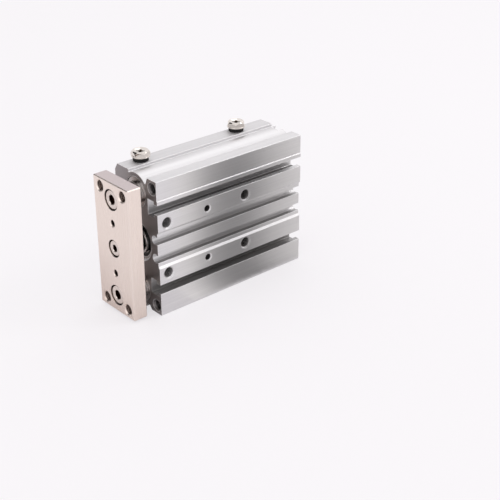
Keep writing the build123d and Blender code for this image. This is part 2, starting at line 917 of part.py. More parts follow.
with BuildPart() as piston_magnet:
    magnet_outer = piston_radius - piston_clearance
    magnet_inner = magnet_hub_radius + seat_clearance
    spin(sleeve(magnet_front, disc_front, magnet_outer, magnet_inner))
piston_magnet.part.label = "piston_magnet"
export_step(piston_magnet.part, "parts/piston_magnet.step")

with BuildPart() as piston_seal:
    seal_lip = bore_radius - seal_clearance
    seal_middle = (seal_front + seal_behind) / 2
    seal_heel = piston_seal_floor + seat_clearance
    spin(
        [
            (seal_front, seal_heel),
            (seal_front, piston_radius),
            (seal_front + piston_clearance, seal_lip),
            (seal_middle, piston_radius - piston_seal_section / 4),
            (seal_behind - piston_clearance, seal_lip),
            (seal_behind, piston_radius),
            (seal_behind, seal_heel),
        ]
    )
piston_seal.part.label = "piston_seal"
export_step(piston_seal.part, "parts/piston_seal.step")
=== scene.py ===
# %% [markdown]
# # A guided air cylinder, dressed for the camera
#
# The imported model already holds every piece at its real size: an extruded aluminium body with long
# slots, a nickelled end plate, and the rods that join them. This lesson gives each piece the finish
# that it has on the real object, models the small turned and threaded pieces again with the detail
# that a picture shows, and lights everything as a small part is photographed, on a pale table.
#
# The model is loaded first and never changed.

# %% Load the frame
from math import cos, hypot, radians, sin

import bpy
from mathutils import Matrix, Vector


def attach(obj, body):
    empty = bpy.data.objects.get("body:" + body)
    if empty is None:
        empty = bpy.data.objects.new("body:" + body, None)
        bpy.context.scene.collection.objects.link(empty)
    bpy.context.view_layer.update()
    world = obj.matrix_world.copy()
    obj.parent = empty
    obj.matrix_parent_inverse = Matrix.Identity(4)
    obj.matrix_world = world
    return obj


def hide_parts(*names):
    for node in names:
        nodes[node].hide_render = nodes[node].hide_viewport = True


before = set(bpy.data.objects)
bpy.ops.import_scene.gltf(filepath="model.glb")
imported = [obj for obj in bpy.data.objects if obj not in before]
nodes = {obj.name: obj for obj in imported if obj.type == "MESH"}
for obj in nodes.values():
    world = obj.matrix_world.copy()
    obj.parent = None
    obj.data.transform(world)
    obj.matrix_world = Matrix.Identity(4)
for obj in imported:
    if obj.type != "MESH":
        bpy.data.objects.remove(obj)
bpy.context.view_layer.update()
bpy.ops.object.select_all(action="DESELECT")
scene = bpy.context.scene

# %% [markdown]
# ## The camera
#
# It stands in front of the plate and to the right, a little above, as in the photograph. Its place
# was solved from corners and hole centres, so it is given as an angle round the object, an angle
# above the table, and how far the camera stands off along each of its own three directions. A long
# lens keeps the long edges nearly parallel.

# %% Camera
SENSOR_WIDTH = 36.0
FOCAL_PIXELS = 1060.0
PICTURE_PIXELS = 500.0
azimuth = radians(48.77)
elevation = radians(27.33)
back = Vector((sin(azimuth) * cos(elevation), -cos(azimuth) * cos(elevation), sin(elevation)))
right = Vector((cos(azimuth), sin(azimuth), 0.0))
up = back.cross(right)
stand = 0.02244 * right + 0.01336 * up + 0.49878 * back
bpy.ops.object.camera_add(location=stand, rotation=(radians(90) - elevation, 0.0, azimuth))
camera = bpy.context.object
camera.name = "camera"
camera.data.sensor_width = SENSOR_WIDTH
camera.data.lens = SENSOR_WIDTH * FOCAL_PIXELS / PICTURE_PIXELS
scene.camera = camera
print("camera at", [round(c, 3) for c in stand], "with a lens of", round(camera.data.lens, 1), "mm")

# %% [markdown]
# ## The table and what surrounds it
#
# The table is one matt, almost white sheet. The surroundings are a plain pale light. Both ask what
# kind of ray has reached them. The camera, and every surface that mirrors or lets light through,
# sees the surroundings as white. Matt surfaces get a little less light from them, so that the lamps
# can add the rest without making a pale surface clip. The camera sees the table for the larger part
# as its own paper colour, whatever falls on it, so that the object's soft shadow stays as faint as
# in the photograph. The metal still mirrors the table with its full shadow, and so darkens a little
# towards its foot.

# %% Table and surroundings
def seen_directly(tree):
    """A value that is 1 where the camera looks, also by a gloss or through something clear."""
    rays = tree.nodes.new("ShaderNodeLightPath")
    glossy_or_clear = tree.nodes.new("ShaderNodeMath")
    glossy_or_clear.operation = "MAXIMUM"
    tree.links.new(rays.outputs["Is Glossy Ray"], glossy_or_clear.inputs[0])
    tree.links.new(rays.outputs["Is Transmission Ray"], glossy_or_clear.inputs[1])
    any_of_them = tree.nodes.new("ShaderNodeMath")
    any_of_them.operation = "MAXIMUM"
    tree.links.new(rays.outputs["Is Camera Ray"], any_of_them.inputs[0])
    tree.links.new(glossy_or_clear.outputs["Value"], any_of_them.inputs[1])
    return any_of_them.outputs["Value"]


def carried(tree, value, low, high):
    """A value from 0 to 1 carried to another range."""
    change = tree.nodes.new("ShaderNodeMapRange")
    change.inputs["To Min"].default_value = low
    change.inputs["To Max"].default_value = high
    tree.links.new(value, change.inputs["Value"])
    return change.outputs["Result"]


PAPER = (0.965, 0.945, 0.965, 1.0)
OWN_COLOUR_SHARE = 0.65
bpy.ops.mesh.primitive_plane_add(size=6.0, location=(0.0, 0.0, 0.0))
table = bpy.context.object
table.name = "table"
table_sheet = bpy.data.materials.new("table_sheet")
table_sheet.use_nodes = True
sheet_tree = table_sheet.node_tree
sheet_shader = sheet_tree.nodes["Principled BSDF"]
sheet_shader.inputs["Base Color"].default_value = PAPER
sheet_shader.inputs["Roughness"].default_value = 0.8
own_colour = sheet_tree.nodes.new("ShaderNodeEmission")
own_colour.inputs["Color"].default_value = PAPER
lit_or_own = sheet_tree.nodes.new("ShaderNodeMixShader")
seen_by = sheet_tree.nodes.new("ShaderNodeLightPath")
own_share = carried(sheet_tree, seen_by.outputs["Is Camera Ray"], 0.0, OWN_COLOUR_SHARE)
sheet_tree.links.new(own_share, lit_or_own.inputs["Fac"])
sheet_tree.links.new(sheet_shader.outputs["BSDF"], lit_or_own.inputs[1])
sheet_tree.links.new(own_colour.outputs["Emission"], lit_or_own.inputs[2])
sheet_surface = sheet_tree.nodes["Material Output"].inputs["Surface"]
sheet_tree.links.new(lit_or_own.outputs["Shader"], sheet_surface)
table.data.materials.append(table_sheet)

MATT_STRENGTH = 0.85
SEEN_STRENGTH = 1.0
studio = bpy.data.worlds.new("studio")
scene.world = studio
studio.use_nodes = True
backdrop = studio.node_tree.nodes["Background"]
backdrop.inputs["Color"].default_value = (0.97, 0.955, 0.97, 1.0)
brightness = carried(studio.node_tree, seen_directly(studio.node_tree),
                     MATT_STRENGTH, SEEN_STRENGTH)
studio.node_tree.links.new(brightness, backdrop.inputs["Strength"])
scene.view_settings.view_transform = "Standard"
print("world strength:", MATT_STRENGTH, "for matt surfaces,", SEEN_STRENGTH, "where it is seen")

# %% [markdown]
# ## Lamps
#
# The photograph has almost no shadow, and its brightest metal is on top, so nearly all the light
# comes from the surroundings. The main lamp is a large, weak square high behind the object, where
# the round back over the upper guide mirrors it, and a weaker one in front lifts the plate. The rim
# lamp stands behind on the right. No flat face mirrors it to the camera, but every rounded edge
# between the top and the long side does, and so gets its thin white line.

# %% Lamps
def soft_lamp(name, size, watts, place, aim=(0.0, 0.0, 0.03)):
    """A square lamp that faces a point."""
    bpy.ops.object.light_add(type="AREA", location=place)
    lamp = bpy.context.object
    lamp.name = name
    lamp.data.size = size
    lamp.data.energy = watts
    lamp.rotation_euler = (Vector(aim) - Vector(place)).to_track_quat("-Z", "Y").to_euler()
    return lamp


main_lamp = soft_lamp("main_lamp", 0.6, 0.65, (-0.24, 0.54, 0.74))
fill_lamp = soft_lamp("fill_lamp", 0.7, 0.62, (0.15, -0.75, 0.5))
rim_lamp = soft_lamp("rim_lamp", 0.25, 0.8, (0.42, 0.53, 0.62))
for lamp in (main_lamp, fill_lamp, rim_lamp):
    print(lamp.name, lamp.data.energy, "W")

# %% [markdown]
# ## A grey card beside the long side
#
# A photographer stands cards close to metal, to give a long even face a darker band and so its
# shape. This one stands along the side with the slots. It is a plane, whose lower edge is extruded
# towards the object, so that the card has a foot on the table and the band goes down to the
# object's own foot. Its tone runs from white at the front to nearly black a third of the way along,
# and back to a pale grey, as a row of steps in a colour ramp. Only glossy rays can see it, so it
# throws no shadow, lights nothing, and doesn't show in the picture.

# %% Grey card
CARD_TONES = ((0.0, 1.0), (0.09, 0.79), (0.16, 0.56), (0.23, 0.31), (0.31, 0.2), (0.38, 0.13),
              (0.5, 0.15), (0.6, 0.3), (0.68, 0.46), (0.83, 0.66), (1.0, 0.85))


def only_in_gloss(piece):
    """Hides a card from every kind of ray but the glossy ones."""
    piece.visible_camera = False
    piece.visible_diffuse = False
    piece.visible_shadow = False
    piece.visible_transmission = False


def grey_card(name, x, foot, front, rear, top):
    """A bent card that only reflections see, darkest a third of the way along."""
    bpy.ops.mesh.primitive_plane_add(size=1.0, location=(x, (front + rear) / 2, top / 2),
                                     rotation=(0.0, radians(90), 0.0))
    card = bpy.context.object
    card.scale = (top, rear - front, 1.0)
    bpy.ops.object.transform_apply(location=True, rotation=True, scale=True)
    card.name = name
    bpy.ops.object.mode_set(mode="EDIT")
    bpy.ops.mesh.select_mode(type="EDGE")
    bpy.ops.mesh.select_all(action="DESELECT")
    bpy.ops.object.mode_set(mode="OBJECT")
    for edge in card.data.edges:
        edge.select = all(card.data.vertices[v].co.z < 0.001 for v in edge.vertices)
    bpy.ops.object.mode_set(mode="EDIT")
    bpy.ops.mesh.extrude_region_move(TRANSFORM_OT_translate={"value": (-foot, 0.0, 0.0002)})
    bpy.ops.object.mode_set(mode="OBJECT")
    paper = bpy.data.materials.new("card_paper")
    paper.use_nodes = True
    tree = paper.node_tree
    tree.nodes.remove(tree.nodes["Principled BSDF"])
    glow = tree.nodes.new("ShaderNodeEmission")
    glow.inputs["Color"].default_value = (1.0, 0.97, 0.96, 1.0)
    place = tree.nodes.new("ShaderNodeTexCoord")
    parts = tree.nodes.new("ShaderNodeSeparateXYZ")
    tree.links.new(place.outputs["Object"], parts.inputs["Vector"])
    share = tree.nodes.new("ShaderNodeMapRange")
    share.inputs["From Min"].default_value = front
    share.inputs["From Max"].default_value = rear
    tree.links.new(parts.outputs["Y"], share.inputs["Value"])
    tones = tree.nodes.new("ShaderNodeValToRGB")
    steps = tones.color_ramp.elements
    while len(steps) < len(CARD_TONES):
        steps.new(0.5)
    for step, (position, tone) in zip(steps, CARD_TONES):
        step.position = position
        step.color = (tone, tone, tone, 1.0)
    tree.links.new(share.outputs["Result"], tones.inputs["Fac"])
    tree.links.new(tones.outputs["Color"], glow.inputs["Strength"])
    tree.links.new(glow.outputs["Emission"], tree.nodes["Material Output"].inputs["Surface"])
    card.data.materials.append(paper)
    only_in_gloss(card)
    return card


card = grey_card("grey_card", x=0.0274, foot=0.011, front=-0.016, rear=0.065, top=0.064)
print("card:", len(card.data.polygons), "faces")

# %% [markdown]
# A second, larger card is nearly black. It hangs high in front on the left, where no long face
# mirrors it. The rounded front edges do, and so do the bolts, the dished heads of the plugs and the
# mouths of the holes, and they get the dark lines that make small bright metal look like metal.

# %% Dark card
DARK_CARD_SIZE = 0.5
PART_FRONT = Vector((0.0, -0.02, 0.05))
bpy.ops.mesh.primitive_plane_add(size=1.0, location=(-0.36, -0.3, 0.4))
dark_card = bpy.context.object
dark_card.name = "dark_card"
dark_card.scale = (DARK_CARD_SIZE, DARK_CARD_SIZE, 1.0)
towards_part = PART_FRONT - dark_card.location
dark_card.rotation_euler = towards_part.to_track_quat("Z", "Y").to_euler()
bpy.ops.object.transform_apply(location=True, rotation=True, scale=True)
black_paper = bpy.data.materials.new("black_paper")
black_paper.use_nodes = True
black_shader = black_paper.node_tree.nodes["Principled BSDF"]
black_shader.inputs["Base Color"].default_value = (0.03, 0.027, 0.026, 1.0)
black_shader.inputs["Roughness"].default_value = 0.9
dark_card.data.materials.append(black_paper)
only_in_gloss(dark_card)
print("dark card:", [round(v, 2) for v in dark_card.dimensions])

# %% [markdown]
# ## How a metal finish is put together
#
# A drawn, rolled or turned metal is never one flat tone. The tool leaves fine lines, so the tone
# and the gloss change a little across them and hardly at all along them. Here the lines are noise,
# squeezed by a Mapping node: a large scale across the lines, a small one along them.
#
# Real edges are also a little round. The Bevel node finds the edges of
# a sharp mesh while it renders. Its normal rounds them, and where that normal leaves the face's own
# one, the tone is made lighter: a painted highlight along every edge. Both are done in the material,
# since the model's meshes stay as they are.

# %% Helpers for finishes
def lines_of(tree, scale, detail=3.0):
    """Noise on the piece's own coordinates, stretched by a scale for each axis."""
    place = tree.nodes.new("ShaderNodeTexCoord")
    stretch = tree.nodes.new("ShaderNodeMapping")
    stretch.inputs["Scale"].default_value = scale
    tree.links.new(place.outputs["Object"], stretch.inputs["Vector"])
    noise = tree.nodes.new("ShaderNodeTexNoise")
    noise.inputs["Scale"].default_value = 1.0
    noise.inputs["Detail"].default_value = detail
    tree.links.new(stretch.outputs["Vector"], noise.inputs["Vector"])
    return noise.outputs["Fac"]


def ranged(tree, value, low, high, to_low=0.0, to_high=1.0):
    """A value carried from one range to another."""
    change = tree.nodes.new("ShaderNodeMapRange")
    change.inputs["From Min"].default_value = low
    change.inputs["From Max"].default_value = high
    change.inputs["To Min"].default_value = to_low
    change.inputs["To Max"].default_value = to_high
    tree.links.new(value, change.inputs["Value"])
    return change.outputs["Result"]


def blended(tree, share, first, second):
    """Two colours, or colour outputs, mixed by a share."""
    mix = tree.nodes.new("ShaderNodeMix")
    mix.data_type = "RGBA"
    tree.links.new(share, mix.inputs["Factor"])
    for name, colour in (("A", first), ("B", second)):
        socket = next(s for s in mix.inputs if s.name == name and s.type == "RGBA")
        if isinstance(colour, tuple):
            socket.default_value = (*colour, 1.0)
        else:
            tree.links.new(colour, socket)
    return next(s for s in mix.outputs if s.type == "RGBA")


def edges_of(tree, radius):
    """The rounded normal near the piece's edges, and a mask that is 1 on them."""
    rounded = tree.nodes.new("ShaderNodeBevel")
    rounded.samples = 6
    rounded.inputs["Radius"].default_value = radius
    flat = tree.nodes.new("ShaderNodeNewGeometry")
    same = tree.nodes.new("ShaderNodeVectorMath")
    same.operation = "DOT_PRODUCT"
    tree.links.new(rounded.outputs["Normal"], same.inputs[0])
    tree.links.new(flat.outputs["Normal"], same.inputs[1])
    return rounded.outputs["Normal"], ranged(tree, same.outputs["Value"], 0.995, 0.9)


def relief(tree, height, strength, depth, normal=None):
    """A bump whose height comes from a value."""
    bump = tree.nodes.new("ShaderNodeBump")
    bump.inputs["Strength"].default_value = strength
    bump.inputs["Distance"].default_value = depth
    tree.links.new(height, bump.inputs["Height"])
    if normal:
        tree.links.new(normal, bump.inputs["Normal"])
    return bump.outputs["Normal"]


print("helpers: lines_of, ranged, blended, edges_of, relief")

# %% [markdown]
# One function then makes every plain metal. Its two tones, roughness and line directions are what
# tells ground chrome from satin nickel or turned aluminium. Places in shade, such as the inside of a
# hole, are painted darker, as painted shade. The piece's own coordinates say where they are: a
# Compare node gives 1 within a distance of a value, and three of them multiplied give a block of
# space.

# %% A metal, and a way to put it on pieces
NOISE_SPAN = (0.3, 0.7)
CLOUD_SCALE = (90.0, 90.0, 90.0)


def metal(name, light, dark, roughness, lines, metallic=1.0, edge=(0.93, 0.92, 0.92),
          edge_radius=0.00012, depth=0.000004):
    """A metal with fine lines, soft spots of tone, and a painted highlight on its edges."""
    finish = bpy.data.materials.new(name)
    finish.use_nodes = True
    tree = finish.node_tree
    shader = tree.nodes["Principled BSDF"]
    shader.inputs["Metallic"].default_value = metallic
    fine = lines_of(tree, lines)
    cloudy = lines_of(tree, CLOUD_SCALE, 2.0)
    rounded, edge_highlight_mask = edges_of(tree, edge_radius)
    tone = blended(tree, ranged(tree, fine, *NOISE_SPAN), dark, light)
    spotted = blended(tree, ranged(tree, cloudy, 0.35, 0.75, 0.0, 0.35), tone, dark)
    # Painted highlight: the edge colour takes the place of the tone along every edge.
    tree.links.new(blended(tree, edge_highlight_mask, spotted, edge), shader.inputs["Base Color"])
    gloss = ranged(tree, fine, *NOISE_SPAN, roughness + 0.05, roughness - 0.05)
    tree.links.new(gloss, shader.inputs["Roughness"])
    tree.links.new(relief(tree, fine, 0.35, depth, rounded), shader.inputs["Normal"])
    return finish


def toned(finish, mask, colour):
    """Leads the colour of a metal through one more mix, with another colour where a mask is 1."""
    shader = finish.node_tree.nodes["Principled BSDF"]
    before = shader.inputs["Base Color"].links[0].from_socket
    after = blended(finish.node_tree, mask, before, colour)
    finish.node_tree.links.new(after, shader.inputs["Base Color"])


def coordinates(tree):
    """The three coordinates of a point of the piece."""
    place = tree.nodes.new("ShaderNodeTexCoord")
    spot = tree.nodes.new("ShaderNodeSeparateXYZ")
    tree.links.new(place.outputs["Object"], spot.inputs["Vector"])
    return spot.outputs["X"], spot.outputs["Y"], spot.outputs["Z"]


def within(tree, value, middle, reach):
    """A mask that is 1 where a value lies within reach of a middle."""
    near = tree.nodes.new("ShaderNodeMath")
    near.operation = "COMPARE"
    near.inputs[1].default_value = middle
    near.inputs[2].default_value = reach
    tree.links.new(value, near.inputs[0])
    return near.outputs["Value"]


def joined(tree, how, first, *others):
    """Masks combined: MULTIPLY where all hold, MAXIMUM where any does."""
    result = first
    for other in others:
        join = tree.nodes.new("ShaderNodeMath")
        join.operation = how
        tree.links.new(result, join.inputs[0])
        tree.links.new(other, join.inputs[1])
        result = join.outputs["Value"]
    return result


def block(tree, place, middle, reach):
    """A mask that is 1 inside a block of space, given by its middle and its half sizes."""
    sides = [within(tree, value, m, r) for value, m, r in zip(place, middle, reach)]
    return joined(tree, "MULTIPLY", *sides)


def dress(finish, *names):
    """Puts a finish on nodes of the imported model."""
    for name in names:
        for slot in nodes[name].material_slots:
            slot.material = finish
    print(finish.name, "on", ", ".join(names))


# %% [markdown]
# ## The body
#
# The body is an aluminium extrusion with a clear anodised skin: a soft silver with long, faint
# lines from the die. Its two ends were milled after it was cut off, so they show the cutter's arcs
# in place of the lines, and they are duller. The face normal tells an end from a side. The arcs are
# rings of a Wave texture whose centre lies well off the part, as the cutter's did, and the front
# one, which the plate covers, is darkest, with painted shade. Deep in the T slots and the round
# grooves the tone is darker too, as painted shade. All edges and the narrow slope under the lower
# groove get a painted highlight instead: a bright white line, which scatters the light more than it
# mirrors it.

# %% Anodised extrusion
# Where the masks hold on the body: a middle and a reach, in metres.
FRONT_FACE = (-0.035, 0.0003)
PAD_ACROSS = (-0.01, 0.005)
SLOPE_UP, SLOPE_ACROSS = (0.0237, 0.00055), (0.0146, 0.00038)
UPPER_SLOT_UP, UPPER_SLOT_ACROSS = (0.051, 0.0039), (0.0105, 0.00195)
LOWER_SLOT_UP, LOWER_SLOT_ACROSS = (0.013, 0.0039), (0.01148, 0.00325)
UPPER_GROOVE_UP, LOWER_GROOVE_UP = (0.0364, 0.0022), (0.0276, 0.0022)
GROOVE_ACROSS = (0.01275, 0.00115)
# The holes in the slotted side, as places along the body with half widths, and their heights.
SIDE_HOLES = ((-0.03, 0.0023), (-0.008, 0.0017), (0.014, 0.0023))
SIDE_HOLE_HEIGHTS = (0.02, 0.044)
FRONT_HOLE_HEIGHTS = (0.004, 0.06)


def anodised_extrusion():
    """Clear anodised aluminium: drawn lines on the long faces, milled arcs on the ends."""
    finish = bpy.data.materials.new("anodised_body")
    finish.use_nodes = True
    tree = finish.node_tree
    shader = tree.nodes["Principled BSDF"]
    fine = lines_of(tree, (4200.0, 20.0, 4200.0))
    streaks = lines_of(tree, (420.0, 3.0, 420.0), 2.0)
    grains = lines_of(tree, (5200.0, 5200.0, 5200.0), 1.0)
    rounded, edge_highlight_mask = edges_of(tree, 0.0004)

    place = tree.nodes.new("ShaderNodeTexCoord")
    away = tree.nodes.new("ShaderNodeMapping")
    away.inputs["Location"].default_value = (0.05, 0.0, 0.02)
    tree.links.new(place.outputs["Object"], away.inputs["Vector"])
    arcs = tree.nodes.new("ShaderNodeTexWave")
    arcs.wave_type = "RINGS"
    arcs.rings_direction = "Y"
    arcs.inputs["Scale"].default_value = 420.0
    arcs.inputs["Distortion"].default_value = 1.5
    tree.links.new(away.outputs["Vector"], arcs.inputs["Vector"])

    facing = tree.nodes.new("ShaderNodeNewGeometry")
    parts = tree.nodes.new("ShaderNodeSeparateXYZ")
    tree.links.new(facing.outputs["Normal"], parts.inputs["Vector"])
    either = tree.nodes.new("ShaderNodeMath")
    either.operation = "ABSOLUTE"
    tree.links.new(parts.outputs["Y"], either.inputs[0])
    on_end = ranged(tree, either.outputs["Value"], 0.9, 0.95)
    spot = coordinates(tree)
    x, y, z = spot
    facing_up = ranged(tree, parts.outputs["Z"], 0.9, 0.95)
    on_pad = joined(tree, "MULTIPLY", facing_up, within(tree, x, *PAD_ACROSS))
    behind_plate = within(tree, y, *FRONT_FACE)

    drawn = blended(tree, ranged(tree, fine, *NOISE_SPAN), (0.69, 0.68, 0.685), (0.76, 0.75, 0.755))
    sides = blended(tree, ranged(tree, streaks, 0.4, 0.7, 0.0, 0.35), drawn, (0.66, 0.65, 0.655))
    ends = blended(tree, arcs.outputs["Fac"], (0.5, 0.485, 0.49), (0.58, 0.565, 0.57))
    # Painted shade: the front end face, which the plate shades, is made darker.
    ends_shaded_behind_plate = blended(tree, behind_plate, ends, (0.3, 0.275, 0.275))
    skin = blended(tree, on_end, sides, ends_shaded_behind_plate)

    # Painted highlight: the slope under the lower groove and all edges are set near white and less
    # metallic.
    slope = joined(tree, "MULTIPLY", within(tree, z, *SLOPE_UP),
                   within(tree, x, *SLOPE_ACROSS))
    painted_highlight_mask = joined(tree, "MAXIMUM", slope, edge_highlight_mask)
    skin_with_highlight = blended(tree, painted_highlight_mask, skin, (1.0, 0.99, 0.99))
    tree.links.new(ranged(tree, painted_highlight_mask, 0.0, 1.0, 0.8, 0.35), shader.inputs["Metallic"])

    # Painted shade: the insides of the T slots and the round grooves are made dark.
    upper_slot = joined(tree, "MULTIPLY",
                        within(tree, z, *UPPER_SLOT_UP), within(tree, x, *UPPER_SLOT_ACROSS))
    lower_slot = joined(tree, "MULTIPLY",
                        within(tree, z, *LOWER_SLOT_UP), within(tree, x, *LOWER_SLOT_ACROSS))
    grooves = joined(tree, "MAXIMUM",
                     within(tree, z, *UPPER_GROOVE_UP), within(tree, z, *LOWER_GROOVE_UP))
    in_groove = joined(tree, "MULTIPLY", grooves, within(tree, x, *GROOVE_ACROSS))
    painted_slot_shade = blended(tree, ranged(tree, streaks, 0.35, 0.7),
                        (0.36, 0.35, 0.348), (0.48, 0.47, 0.47))
    shaded = blended(tree, joined(tree, "MAXIMUM", lower_slot, in_groove), skin_with_highlight, painted_slot_shade)
    outside = blended(tree, upper_slot, shaded, (0.17, 0.163, 0.163))

    # Painted shade: the insides of the side and front holes are made dark.
    side_holes = [block(tree, spot, (0.0094, along, height), (0.005, reach, reach))
                  for along, reach in SIDE_HOLES for height in SIDE_HOLE_HEIGHTS]
    front_holes = [block(tree, spot, (0.0116, -0.0325, height), (0.003, 0.0024, 0.003))
                   for height in FRONT_HOLE_HEIGHTS]
    painted_hole_shade = joined(tree, "MAXIMUM", *side_holes, *front_holes)
    tree.links.new(blended(tree, painted_hole_shade, outside, (0.2, 0.19, 0.19)), shader.inputs["Base Color"])

    matt = tree.nodes.new("ShaderNodeMix")
    tree.links.new(on_pad, matt.inputs["Factor"])
    tree.links.new(ranged(tree, grains, *NOISE_SPAN, 0.34, 0.44), matt.inputs["A"])
    matt.inputs["B"].default_value = 0.6
    tree.links.new(matt.outputs["Result"], shader.inputs["Roughness"])

    height = tree.nodes.new("ShaderNodeMix")
    tree.links.new(on_end, height.inputs["Factor"])
    tree.links.new(fine, height.inputs["A"])
    tree.links.new(ranged(tree, arcs.outputs["Fac"], 0.0, 1.0, 0.0, 0.35), height.inputs["B"])
    normal = relief(tree, height.outputs["Result"], 0.4, 0.000005, rounded)
    tree.links.new(normal, shader.inputs["Normal"])
    return finish


body_finish = anodised_extrusion()
dress(body_finish, "body")

# %% [markdown]
# ## The end plate
#
# The plate is cut from a rolled flat steel bar and has a satin nickel coat, which is warmer than the
# aluminium behind it: a pale champagne. Its lines run along its height, from the rolling. Its top
# and its foot are duller and greyer, as a painted reflection of something darker. It is a little
# darker towards one lower corner, too, as painted shade, and its holes get painted shade inside.

# %% Plate
plate_finish = metal("plate_nickel", (0.89, 0.785, 0.715), (0.83, 0.725, 0.655), 0.3,
                     (5000.0, 5000.0, 30.0), metallic=0.85, edge=(0.98, 0.92, 0.88),
                     edge_radius=0.00028)
tree = plate_finish.node_tree
across, depth, height = coordinates(tree)
# Painted shade: the plate is darker towards its lower corner on the left.
low = ranged(tree, height, 0.036, 0.004, 0.0, 0.75)
left = ranged(tree, across, 0.014, -0.012, 0.15, 1.0)
toned(plate_finish, joined(tree, "MULTIPLY", low, left), (0.64, 0.53, 0.475))
# Painted reflection: the faces that point up or down get a darker, greyer tone.
facing = tree.nodes.new("ShaderNodeNewGeometry")
parts = tree.nodes.new("ShaderNodeSeparateXYZ")
tree.links.new(facing.outputs["Normal"], parts.inputs["Vector"])
up_or_down = tree.nodes.new("ShaderNodeMath")
up_or_down.operation = "ABSOLUTE"
tree.links.new(parts.outputs["Z"], up_or_down.inputs[0])
toned(plate_finish, ranged(tree, up_or_down.outputs["Value"], 0.9, 0.95), (0.6, 0.525, 0.52))
# Painted shade: the insides of the plate's holes are made dark.
inside = block(tree, (across, depth, height), (0.0, -0.04447, 0.032), (0.0112, 0.00298, 0.0297))
toned(plate_finish, inside, (0.2, 0.155, 0.135))
dress(plate_finish, "plate")

# %% [markdown]
# ## Rods, covers and rings
#
# The rods are ground and hard chromed, so their lines go round them and they mirror what is near.
# The covers are turned from aluminium bar. The rings are spring steel with a black phosphate skin.

# %% Rods, covers and rings
rod_finish = metal("rod_chrome", (0.76, 0.74, 0.72), (0.66, 0.64, 0.62), 0.12, (40.0, 3500.0, 40.0))
dress(rod_finish, "guide_rod_upper", "guide_rod_lower", "piston_rod")
turned_finish = metal("cover_aluminium", (0.74, 0.73, 0.73), (0.64, 0.63, 0.63), 0.3,
                      (900.0, 3000.0, 900.0))
dress(turned_finish, "rod_cover", "head_cover", "piston", "piston_disc")
holder_finish = metal("holder_steel", (0.46, 0.43, 0.42), (0.34, 0.315, 0.31), 0.25,
                      (200.0, 2500.0, 200.0))
dress(holder_finish, "felt_holder_upper", "felt_holder_lower")
ball_finish = metal("ball_steel", (0.62, 0.61, 0.61), (0.52, 0.51, 0.51), 0.12,
                    (300.0, 300.0, 300.0))
dress(ball_finish, "passage_ball")
spring_finish = metal("black_steel", (0.035, 0.034, 0.034), (0.018, 0.017, 0.017), 0.38,
                      (800.0, 800.0, 800.0), metallic=0.6, edge=(0.12, 0.115, 0.11))
dress(spring_finish, "front_retaining_ring", "rear_retaining_ring")
bronze_finish = metal("bronze", (0.56, 0.4, 0.22), (0.42, 0.29, 0.15), 0.4,
                      (1500.0, 1500.0, 1500.0), edge=(0.7, 0.55, 0.35))
dress(bronze_finish, "rod_bush", "front_guide_bearing_upper", "front_guide_bearing_lower",
      "inner_guide_bearing_upper", "inner_guide_bearing_lower")

# %% [markdown]
# ## Soft and dark parts
#
# The seals and gaskets are nitrile, a rubber that is nearly black with a dull bloom. The bumpers are
# a brown urethane, the felts are oiled wool, and the magnet is ferrite powder in plastic. None is a
# metal, so they share a second, simpler function: two tones, a grain in all directions, and a relief.

# %% Rubber, felt and magnet
def dull(name, light, dark, roughness, grain, depth):
    """A matt material with an even grain."""
    finish = bpy.data.materials.new(name)
    finish.use_nodes = True
    tree = finish.node_tree
    shader = tree.nodes["Principled BSDF"]
    speckle = lines_of(tree, (grain, grain, grain), 4.0)
    colour = blended(tree, ranged(tree, speckle, *NOISE_SPAN), dark, light)
    tree.links.new(colour, shader.inputs["Base Color"])
    gloss = ranged(tree, speckle, *NOISE_SPAN, roughness - 0.06, roughness + 0.06)
    tree.links.new(gloss, shader.inputs["Roughness"])
    tree.links.new(relief(tree, speckle, 0.5, depth), shader.inputs["Normal"])
    return finish


rubber_finish = dull("black_rubber", (0.01, 0.009, 0.009), (0.005, 0.0045, 0.0045), 0.6, 2500.0,
                     0.00001)
rubber_shader = rubber_finish.node_tree.nodes["Principled BSDF"]
rubber_shader.inputs["Specular IOR Level"].default_value = 0.25
dress(rubber_finish, "rod_seal", "rod_cover_o_ring", "head_cover_o_ring", "piston_seal")
bumper_finish = dull("bumper_rubber", (0.24, 0.14, 0.09), (0.17, 0.1, 0.06), 0.5, 1800.0, 0.00001)
dress(bumper_finish, "front_bumper", "rear_bumper")
felt_finish = dull("felt", (0.5, 0.45, 0.36), (0.32, 0.28, 0.21), 0.9, 4000.0, 0.0001)
dress(felt_finish, "guide_felt_upper", "guide_felt_lower")
magnet_finish = dull("magnet", (0.09, 0.088, 0.086), (0.05, 0.049, 0.048), 0.6, 3000.0, 0.00001)
dress(magnet_finish, "piston_magnet")

# %% [markdown]
# ## A small bench for new pieces
#
# The screws, plugs, gaskets and threads are modelled as by hand, in millimetres at their real
# places, and then shrunk to metres about the middle of the model. A few helpers keep that short:
# one selects faces by a test, one cuts with another mesh, and one sets a finished piece down on its
# body with its place in its mesh.

# %% Helpers for the bench
def only(piece):
    """Makes one object the selected and active one."""
    bpy.ops.object.select_all(action="DESELECT")
    piece.select_set(True)
    bpy.context.view_layer.objects.active = piece


def choose(piece, test, kind="FACE"):
    """Opens a piece for editing, with the faces or edges selected that pass a test."""
    only(piece)
    bpy.ops.object.mode_set(mode="EDIT")
    bpy.ops.mesh.select_mode(type=kind)
    bpy.ops.mesh.select_all(action="DESELECT")
    bpy.ops.object.mode_set(mode="OBJECT")
    if kind == "FACE":
        for face in piece.data.polygons:
            face.select = test(face.center, face.normal)
    else:
        for edge in piece.data.edges:
            first, second = (piece.data.vertices[v].co for v in edge.vertices)
            edge.select = test((first + second) / 2, second - first)
    bpy.ops.object.mode_set(mode="EDIT")


def done():
    """Leaves edit mode."""
    bpy.ops.object.mode_set(mode="OBJECT")


